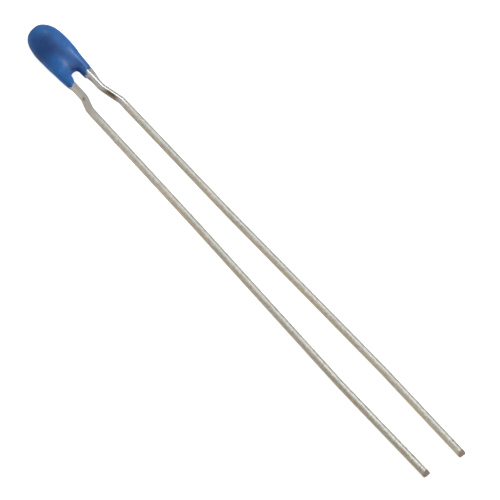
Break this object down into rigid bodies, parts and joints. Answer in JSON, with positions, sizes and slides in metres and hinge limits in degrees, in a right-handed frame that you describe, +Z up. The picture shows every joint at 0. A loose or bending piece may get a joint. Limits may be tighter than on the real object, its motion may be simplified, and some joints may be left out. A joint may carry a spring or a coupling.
{
  "type": "ntc thermistor",
  "caption": "Radial leaded NTC thermistor: a blue dip-coated bead over a sensing pellet, on two kinked tinned wire leads for soldering through a board.",
  "frame": {"origin": "centre of the footprint, on the surface that the bead and the lead tips lie on", "axes": "+X across the leads, from the left lead to the right one; +Y along the leads, from their cut tips to the head of the bead; +Z up from the surface it lies on, through the thickness of the bead"},
  "size_m": [0.0036, 0.0452, 0.0021],
  "materials": {
    "blue_lacquer": "satin",
    "tinned_copper": "satin",
    "oxide_ceramic": "matte",
    "fired_silver": "matte",
    "solder": "satin"
  },
  "bodies": {
    "root": {"lacquer_coating": "blue_lacquer", "lead_left": "tinned_copper", "lead_right": "tinned_copper", "ntc_chip": "oxide_ceramic", "electrode_left": "fired_silver", "electrode_right": "fired_silver", "solder_left": "solder", "solder_right": "solder"}
  },
  "joints": []
}
